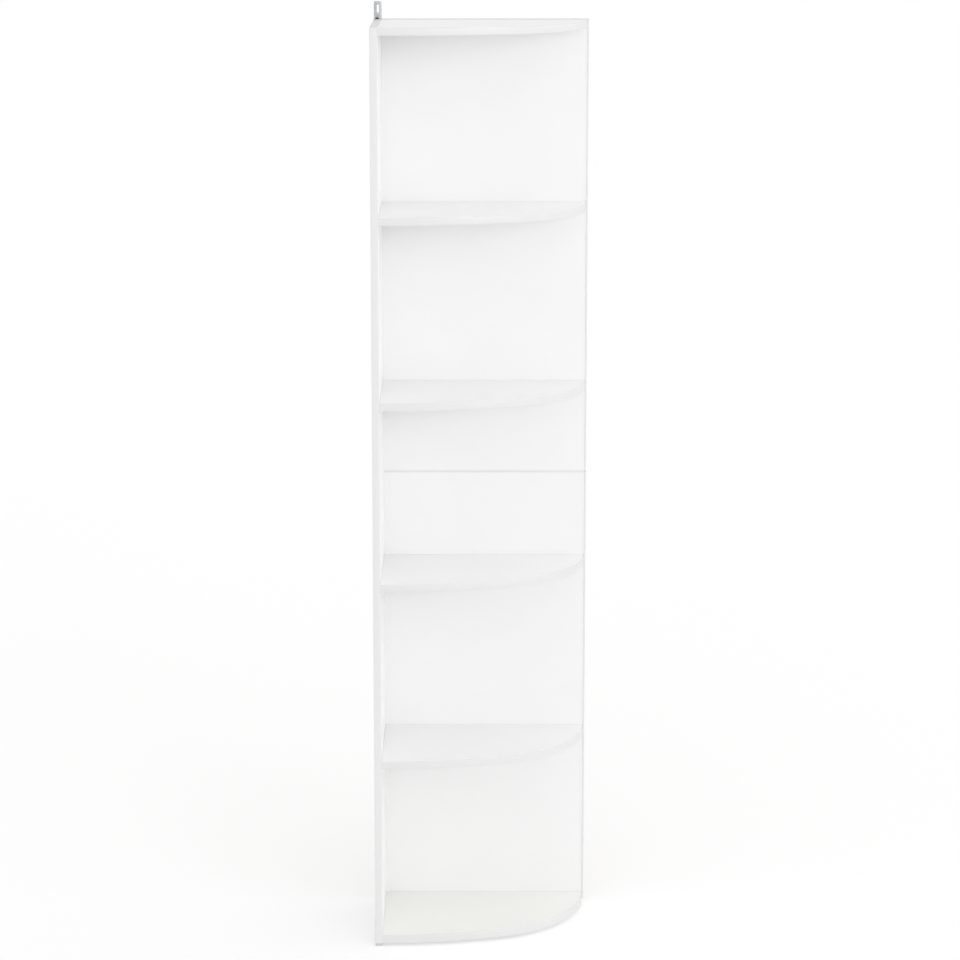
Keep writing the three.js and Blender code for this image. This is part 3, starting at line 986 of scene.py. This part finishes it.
@dataclass
class Board:
    """One curved board with its edge band and its fittings.

    Attributes:
        name: Name of its node.
        glides: Glides that are nailed under it.
        finish: Finish of its faces.
        joint: Gap to the side panel.
        rear_gap: Gap to the back sheet.
        glue_line: Gap between the board and its band.
        band_thickness: Thickness of the band.
        band_rounding: Rounding of the band's outer edges.
    """

    name: str
    glides: list[Glide]
    finish: Finish = MELAMINE
    joint: float = 0.3
    rear_gap: float = 0.4
    glue_line: float = 0.1
    band_thickness: float = 1.0
    band_rounding: float = 0.7

    def __post_init__(self) -> None:
        """Reads the band's box and makes the fittings."""
        self.band_name = f"{self.name}_edge_band"
        self.box = Box.of(self.band_name)
        self.plan = Plan(self.box.high[0], -self.box.low[1])
        self.cams = [CamFitting(self.name, row) for row in Row]
        self.dowel = Dowel(self.name)

    @property
    def middle(self) -> float:
        """Height of the middle of the board's thickness."""
        return self.box.centre[2]

    def panel_cuts(self) -> list[list[Patch]]:
        """Holes that the board's fittings need in the side panel."""
        return [*(cam.panel_cut() for cam in self.cams), self.dowel.cut()]

    def slab(self) -> Shape:
        """The chipboard, faced above and below, with the holes of its fittings.

        Returns:
            The board without its band.
        """
        edge = self.plan.edge(self.band_thickness + self.glue_line)
        curve = edge[(edge[:, 0] > self.joint) & (edge[:, 1] < -self.rear_gap)]
        corners = [(curve[-1, 0], -self.rear_gap), (self.joint, -self.rear_gap), (self.joint, edge[0, 1])]
        cuts = [*(cut for cam in self.cams for cut in cam.board_cuts()), self.dowel.cut(),
                *(glide.cut() for glide in self.glides)]
        skin = bar(np.concatenate([curve, corners]), self.box.low[2], self.box.high[2], Axis.Z)
        return Shape(self.name, skin, (self.finish, CHIPBOARD), faced=(0, 0, 1), cuts=cuts)

    def band(self) -> Shape:
        """The edge band: each point of its section runs along the plan's edge at its own inset and height.

        Returns:
            The band.
        """
        low, high = (0.0, self.box.low[2]), (self.band_thickness, self.box.high[2])
        section = rounded(rectangle(low, high), (0, self.band_rounding, self.band_rounding, 0))
        lines = [self.plan.edge(self.band_thickness - out) for out, _ in section]
        rings = [np.column_stack([line, np.full(len(line), level)])
                 for line, (_, level) in zip(lines, section, strict=True)]
        return Shape(self.band_name, loft(np.stack(rings, axis=1)), (LEVEL_BAND,))

    def build(self) -> None:
        """Builds the board, its band, its fittings and the glides under it."""
        cams = [shape for cam in self.cams for shape in (cam.lock(), cam.bolt())]
        build_all([self.slab(), self.band(), *cams, self.dowel.shape()])
        for glide in self.glides:
            glide.build()


@dataclass
class SidePanel:
    """The full-height side panel with its front and top bands, on its glides."""

    boards: list[Board]
    glides: list[Glide]
    arris: float = 0.3
    band_rounding: float = 0.7
    screw_hole_radius: float = 1.9

    def build(self) -> None:
        """Builds the panel, its bands and its glides."""
        name = "side_panel"
        panel, front, top = (Box.of(node) for node in (name, f"{name}_front_band", f"{name}_top_band"))
        screw_hole = bore(Box.of("bracket_screw"), Axis.Z, self.screw_hole_radius)
        cuts = [*(cut for board in self.boards for cut in board.panel_cuts()),
                *(glide.cut() for glide in self.glides), screw_hole]
        front_section = rounded(rectangle(front.low, front.high),
                                (self.band_rounding, self.band_rounding, 0, 0))
        top_section = rounded(rectangle(top.low[[2, 0]], top.high[[2, 0]]),
                              (0, self.band_rounding, self.band_rounding, 0))
        build_all([
            Shape(name, block(panel.low, panel.high, self.arris), (MELAMINE, CHIPBOARD), faced=(1, 0, 0),
                  cuts=cuts),
            full_length(f"{name}_front_band", front_section, Axis.Z, UPRIGHT_BAND),
            full_length(f"{name}_top_band", top_section, Axis.Y, LEVEL_BAND, cuts=[screw_hole]),
        ])
        for glide in self.glides:
            glide.build()


@dataclass
class BackPanel:
    """Two hardboard sheets, the profiles on their edges and the nails that hold them."""

    boards: list[Board]
    trim_wall: float = 0.75
    trim_rounding: float = 0.25
    trim_steps: int = 3
    top_rounding: float = 1.2
    top_steps: int = 6
    nail_head_radius: float = 2.75
    nail_head_height: float = 0.7
    nail_crown_radius_share: float = 0.8
    nail_crown_height_share: float = 0.85
    nail_radius: float = 0.8
    nail_length: float = 20.0
    nail_spacing: float = 150.0
    nail_edge_distance: float = 40.0
    nails_to_a_board: int = 4
    nail_sides: int = 20

    def sheet(self, half: Half) -> Shape:
        """A sheet, lacquered in front and bare behind and at its edges.

        Args:
            half: Which of the two.

        Returns:
            The sheet.
        """
        name = f"back_sheet_{half.value}"
        box = Box.of(name)
        outline = rectangle(box.low[[2, 0]], box.high[[2, 0]])
        return full_length(name, outline, Axis.Y, LACQUER, BARE_HARDBOARD, faced=(0, -1, 0), both_sides=False)

    def side_trim(self, half: Half) -> Shape:
        """U-shaped profile over the free edge of a sheet.

        Args:
            half: Which of the two.

        Returns:
            The profile.
        """
        name = f"back_side_trim_{half.value}"
        box = Box.of(name)
        (left, front), (right, rear), wall = box.low[:2], box.high[:2], self.trim_wall
        outline = [(left, front), (right, front), (right, rear), (left, rear), (left, rear - wall),
                   (right - wall, rear - wall), (right - wall, front + wall), (left, front + wall)]
        return full_length(name, rounded(outline, self.trim_rounding, self.trim_steps), Axis.Z, TRIM)

    def joint_strip(self) -> Shape:
        """H-shaped profile between the two sheets.

        Returns:
            The profile.
        """
        name = "back_joint_strip"
        box = Box.of(name)
        (front, low), (rear, high) = box.low[1:], box.high[1:]
        web_low, web_high = box.centre[2] + np.array([-1, 1]) * self.trim_wall / 2
        front_in, rear_in = front + self.trim_wall, rear - self.trim_wall
        outline = [(front, low), (front_in, low), (front_in, web_low), (rear_in, web_low), (rear_in, low),
                   (rear, low), (rear, high), (rear_in, high), (rear_in, web_high), (front_in, web_high),
                   (front_in, high), (front, high)]
        return full_length(name, rounded(outline, self.trim_rounding, self.trim_steps), Axis.X, TRIM)

    def top_trim(self) -> Shape:
        """Flat strip on the upper sheet's top edge, with a rounded upper side.

        Returns:
            The strip.
        """
        name = "back_top_trim"
        box = Box.of(name)
        rounding = (self.trim_rounding, self.trim_rounding, self.top_rounding, self.top_rounding)
        section = rounded(rectangle(box.low[1:], box.high[1:]), rounding, self.top_steps)
        # The strip's darker grey is painted shade along the back's top edge.
        return full_length(name, section, Axis.X, TOP_TRIM_PAINTED_SHADE)

    def nail(self, x: float, z: float) -> list[Patch]:
        """Wire nail through the back at a point, with a low domed head and a pointed shank.

        Args:
            x: Place across the back.
            z: Height.

        Returns:
            Closed surface.
        """
        rear = Box.of("back_sheet_lower").high[1]
        head, top = self.nail_head_radius, self.nail_head_height
        crown = (self.nail_crown_radius_share * head, self.nail_crown_height_share * top)
        shank, tip = self.nail_radius, -self.nail_length
        half_section = [(0, tip), (shank, tip + NAIL_POINT * shank), (shank, 0), (head, 0), (head, top / 2),
                        crown, (0, top)]
        return turned(half_section, (x, rear, z), Axis.Y, self.nail_sides)

    def nails(self, half: Half) -> Shape:
        """The nails of a sheet: along the side panel and along the rear edge of every board.

        Args:
            half: Which of the two sheets.

        Returns:
            All its nails as one piece.
        """
        sheet, panel, bracket = (Box.of(node) for node in
                                 (f"back_sheet_{half.value}", "side_panel", "wall_bracket"))
        low = sheet.low[2] + self.nail_edge_distance
        high = min(sheet.high[2], bracket.low[2]) - self.nail_edge_distance
        heights = np.linspace(low, high, round((high - low) / self.nail_spacing) + 1)
        places = [(panel.centre[0], height) for height in heights]
        for board in self.boards:
            if low < board.middle + self.nail_edge_distance and board.middle < sheet.high[2]:
                shares = (np.arange(self.nails_to_a_board) + 0.5) / self.nails_to_a_board
                places += [(share * board.plan.width, board.middle) for share in shares]
        skin = [patch for x, z in places for patch in self.nail(x, z)]
        return Shape(f"back_nails_{half.value}", skin, (ZINC_STEEL,))

    def build(self) -> None:
        """Builds the sheets, the profiles and the nails."""
        for half in Half:
            build_all([self.sheet(half), self.side_trim(half), self.nails(half)])
        build_all([self.joint_strip(), self.top_trim()])


@dataclass
class WallBracket:
    """The slotted angle bracket on top of the side panel, and its screw."""

    thickness: float = 2.0
    bend_radius: float = 3.0
    bend_points: int = 13
    corner_radius: float = 3.0
    corner_points: int = 9
    foot_points: int = 6
    upright_points: int = 8
    arris: float = 0.3
    arris_steps: int = 3
    slot_width: float = 5.5
    slot_length: float = 20.0
    slot_top_margin: float = 9.0
    slot_points: int = 17
    hole_radius: float = 2.3
    head_rim_share: float = 0.35
    head_points: int = 9
    shank_radius: float = 1.65
    point_length: float = 4.0
    thread_pitch: float = 1.8
    thread_height: float = 0.35
    thread_step: float = 0.5
    screw_sides: int = 40
    recess: CrossRecess = CrossRecess(length=4.2, width=1.0, depth=1.6, arris=0.15)

    def __post_init__(self) -> None:
        """Reads the boxes of the bracket and the screw."""
        self.box = Box.of("wall_bracket")
        self.screw_box = Box.of("bracket_screw")

    def side_view(self) -> tuple[np.ndarray, np.ndarray, np.ndarray]:
        """The bracket's outer face seen from the side: the foot, the bend and the upright.

        The foot runs along y and the upright along z. The bend between them is a quarter circle,
        (R sin a, R - R cos a) from the end of the foot, for a from 0 to a right angle and the outer radius R.

        Returns:
            Points in y and z, the direction that faces inwards at each, and each point's distance from the
            nearer end of the strip.
        """
        radius, corner = self.bend_radius, self.corner_radius
        foot, upright = self.box.size[1:] - radius
        eased = corner * (1 - np.cos(np.linspace(0, math.pi / 2, self.corner_points)))
        run = np.concatenate([eased, np.linspace(corner, foot, self.foot_points)[1:]])
        straight = np.linspace(0, upright - corner, self.upright_points)
        rise = np.concatenate([straight, (upright - eased)[::-1][1:]])
        angle = np.linspace(0, math.pi / 2, self.bend_points)[1:-1]
        level, plumb = np.zeros(len(run)), np.zeros(len(rise))
        y = np.concatenate([run - foot, radius * np.sin(angle), plumb + radius])
        z = np.concatenate([level, radius - radius * np.cos(angle), radius + rise])
        inward_y = np.concatenate([level, -np.sin(angle), plumb - 1])
        inward_z = np.concatenate([level + 1, np.cos(angle), plumb])
        from_end = np.concatenate([run, np.full(len(angle), foot), upright - rise])
        points = np.column_stack([y - radius, z]) + [self.box.high[1], self.box.low[2]]
        return points, np.column_stack([inward_y, inward_z]), from_end

    def slot(self) -> list[Patch]:
        """Cutter for the upright's slot: two half circles joined by straight sides.

        Returns:
            Closed surface.
        """
        radius = self.slot_width / 2
        reach = self.slot_length / 2 - radius
        angle = np.linspace(0, math.pi, self.slot_points)
        upper = np.column_stack([reach + radius * np.sin(angle), radius * np.cos(angle)])
        middle = self.box.high[2] - self.slot_top_margin - self.slot_length / 2
        outline = np.concatenate([upper, -upper]) + [middle, self.box.centre[0]]
        rear = self.box.high[1]
        return bar(outline, rear - self.thickness - CLEARANCE, rear + CLEARANCE, Axis.Y)

    def plate(self) -> Shape:
        """The bent strip: a section with eased edges is carried along the side view.

        Its half width narrows at both ends by r - sqrt(r^2 - (r - d)^2), where r is the corner radius and d
        the distance from the end.

        Returns:
            The bracket.
        """
        points, inward, from_end = self.side_view()
        half, corner = self.box.size[0] / 2, self.corner_radius
        short = np.clip(corner - from_end, 0, corner)
        width_share = (half - corner + np.sqrt(corner**2 - short**2)) / half
        section = rounded(rectangle((-half, 0), (half, self.thickness)), self.arris, self.arris_steps)
        across, through = section.T
        x = self.box.centre[0] + width_share[:, None] * across
        yz = points[:, None, :] + inward[:, None, :] * through[None, :, None]
        hole = bore(self.screw_box, Axis.Z, self.hole_radius)
        return Shape("wall_bracket", loft(np.dstack([x, yz])), (ZINC_STEEL,), cuts=[self.slot(), hole])

    def screw(self) -> Shape:
        """Pan-head screw with a cross recess and a thread that runs to its point.

        Its head rises straight to a share s of its height h and then as a quarter oval: at the angle a the
        radius is the head's times cos a, and the height is h (s + (1 - s) sin a).

        Returns:
            The screw.
        """
        box, head, shank = self.screw_box, self.screw_box.size[0] / 2, self.shank_radius
        seat = self.box.low[2] + self.thickness
        top, tip = box.high[2] - seat, box.low[2] - seat
        rim, angle = self.head_rim_share, np.linspace(0, math.pi / 2, self.head_points)[:-1]
        crown = np.column_stack([head * np.cos(angle), top * (rim + (1 - rim) * np.sin(angle))])
        half_section = refined([(0, tip), (shank, tip + self.point_length), (shank, 0), (head, 0), *crown,
                                (0, top)], self.thread_step)
        thread = Thread(self.thread_pitch, self.thread_height, tip, 0.0)
        centre = np.append(box.centre[:2], seat)
        cuts = self.recess.cutters(centre + [0, 0, top], -1)
        skin = turned(half_section, centre, Axis.Z, self.screw_sides, thread)
        return Shape("bracket_screw", skin, (BLACK_STEEL,), cuts=cuts)

    def build(self) -> None:
        """Builds the bracket and its screw."""
        build_all([self.plate(), self.screw()])


def aimed_from(azimuth: float, elevation: float) -> Quaternion:
    """Turns a lamp or a camera to look from a direction, which is (sin a cos e, -cos a cos e, sin e).

    Args:
        azimuth: The angle a, in degrees to the right of straight in front.
        elevation: The angle e, in degrees above the floor.

    Returns:
        Rotation whose z axis is the direction.
    """
    a, e = math.radians(azimuth), math.radians(elevation)
    direction = Vector((math.sin(a) * math.cos(e), -math.cos(a) * math.cos(e), math.sin(e)))
    return direction.to_track_quat("Z", "Y")


@dataclass(frozen=True)
class Lamp:
    """A broad distant light.

    Attributes:
        name: Its name.
        azimuth: Degrees to the right of straight in front.
        elevation: Degrees above the floor.
        spread: Width in degrees as seen from the object.
        strength: Brightness of white paper that faces it.
    """

    name: str
    azimuth: float
    elevation: float
    spread: float
    strength: float

    def build(self) -> None:
        """Makes the light and turns it to its direction."""
        data = bpy.data.lights.new(self.name, "SUN")
        data.energy = self.strength * math.pi
        data.angle = math.radians(self.spread)
        light = placed(self.name, data)
        light.rotation_mode = "QUATERNION"
        light.rotation_quaternion = aimed_from(self.azimuth, self.elevation)


@dataclass
class Studio:
    """White floor, soft light and the camera.

    Attributes:
        camera_place: Where the camera stands, in metres.
        camera_pitch: Degrees that it looks down.
        camera_yaw: Degrees that it looks to the right.
        lens: Its focal length in millimetres.
        sight: How far it sees, in metres.
        floor_radius: Radius of the floor in metres.
        floor_sides: Corners of the floor's rim.
        floor_colour: The floor's paint as the light finds it, sRGB.
        floor_shown: How much of the light on the floor the camera sees; its shadows are as deep as this.
        floor_glow: Plain white that the camera sees on top of it.
        sky: Brightness of the sky that lights the object.
        lamps: The lamps.
    """

    camera_place: tuple[float, float, float] = (-0.012, -8.0, 2.859)
    camera_pitch: float = 11.72
    camera_yaw: float = 0.06
    lens: float = 119.1
    sight: float = 240.0
    floor_radius: float = 60.0
    floor_sides: int = 64
    floor_colour: int = 0xFCFCFC
    floor_shown: float = 0.5
    floor_glow: float = 0.56
    sky: float = 0.6
    lamps: tuple[Lamp, ...] = (
        Lamp("front_lamp", azimuth=30, elevation=4, spread=30, strength=0.285),
        Lamp("broad_lamp", azimuth=60, elevation=30, spread=140, strength=0.41),
    )

    def camera(self) -> None:
        """Puts the camera at the photograph's height and side, pitched down."""
        data = bpy.data.cameras.new("camera")
        data.lens = self.lens
        data.clip_end = self.sight
        camera = placed("camera", data)
        camera.location = self.camera_place
        camera.rotation_mode = "QUATERNION"
        camera.rotation_quaternion = aimed_from(-self.camera_yaw, self.camera_pitch)
        bpy.context.scene.camera = camera

    def sight_rays(self, tree: bpy.types.NodeTree) -> bpy.types.NodeSocket:
        """Tells what is looked at from what gives light.

        Args:
            tree: Node tree of the floor or the sky.

        Returns:
            Socket with 1 for rays from the camera, off gloss and through glass, and 0 for the others.
        """
        rays = add_node(tree, "ShaderNodeLightPath").node.outputs
        looks = [rays[f"Is {kind} Ray"] for kind in ("Camera", "Glossy", "Transmission")]
        first = add_node(tree, "ShaderNodeMath", {0: looks[0], 1: looks[1]}, operation="MAXIMUM")
        return add_node(tree, "ShaderNodeMath", {0: first, 1: looks[2]}, operation="MAXIMUM")

    def world(self) -> None:
        """Even sky that lights softly and shows as plain white."""
        world = bpy.data.worlds.new("white_studio")
        tree = empty_tree(world)
        light, shown = (
            add_node(tree, "ShaderNodeBackground", {"Strength": strength, "Color": linear_colour(0xFFFFFF)})
            for strength in (self.sky, 1.0)
        )
        mixed = add_node(tree, "ShaderNodeMixShader", {0: self.sight_rays(tree), 1: light, 2: shown})
        add_node(tree, "ShaderNodeOutputWorld", {"Surface": mixed})
        bpy.context.scene.world = world

    def floor_paint(self) -> bpy.types.Material:
        """White paint that shows as the white of the backdrop, with the object's shadow on it.

        Returns:
            The floor's material.
        """
        material = bpy.data.materials.new("studio_floor_painted")
        tree = empty_tree(material)
        sight = self.sight_rays(tree)
        shown = [self.floor_shown] * 3 + [1.0]
        colour = add_node(tree, "ShaderNodeMix", {
            "Factor": sight, "A": linear_colour(self.floor_colour), "B": shown,
        }, data_type="RGBA")
        glow = add_node(tree, "ShaderNodeMath", {0: sight, 1: self.floor_glow}, operation="MULTIPLY")
        paint = add_node(tree, "ShaderNodeBsdfDiffuse", {"Color": colour})
        light = add_node(tree, "ShaderNodeEmission", {"Strength": glow})
        both = add_node(tree, "ShaderNodeAddShader", {0: paint, 1: light})
        add_node(tree, "ShaderNodeOutputMaterial", {"Surface": both})
        return material

    def floor(self) -> None:
        """Round floor under the origin: the point at angle a is the radius times (cos a, sin a)."""
        angle = np.linspace(0, math.tau, self.floor_sides, endpoint=False)
        rim = np.column_stack([np.cos(angle), np.sin(angle), np.zeros(len(angle))]) * self.floor_radius
        mesh = bpy.data.meshes.new("studio_floor")
        mesh.from_pydata(rim.tolist(), [], [list(range(len(rim)))])
        mesh.materials.append(self.floor_paint())
        placed("studio_floor", mesh)

    def build(self) -> None:
        """Builds the camera, the sky, the floor and the lamps."""
        self.camera()
        self.world()
        self.floor()
        for lamp in self.lamps:
            lamp.build()
        bpy.context.scene.view_settings.view_transform = "Standard"


def main() -> None:
    """Builds the unit, sub-assembly by sub-assembly, and the studio round it."""
    logging.basicConfig(level=logging.INFO, format="%(name)s: %(message)s")
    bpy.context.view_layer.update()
    Studio().build()
    glides = {place: [Glide(node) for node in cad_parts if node.startswith(f"glide_{place}")]
              for place in ("board", "side")}
    boards = [Board("bottom_panel", glides["board"], WARM_MELAMINE)]
    boards += [Board(f"shelf_{number}", []) for number in range(1, SHELVES + 1)]
    boards.append(Board("top_panel", []))
    for board in boards:
        board.build()
    SidePanel(boards, glides["side"]).build()
    BackPanel(boards).build()
    WallBracket().build()


if __name__ == "__main__":
    main()
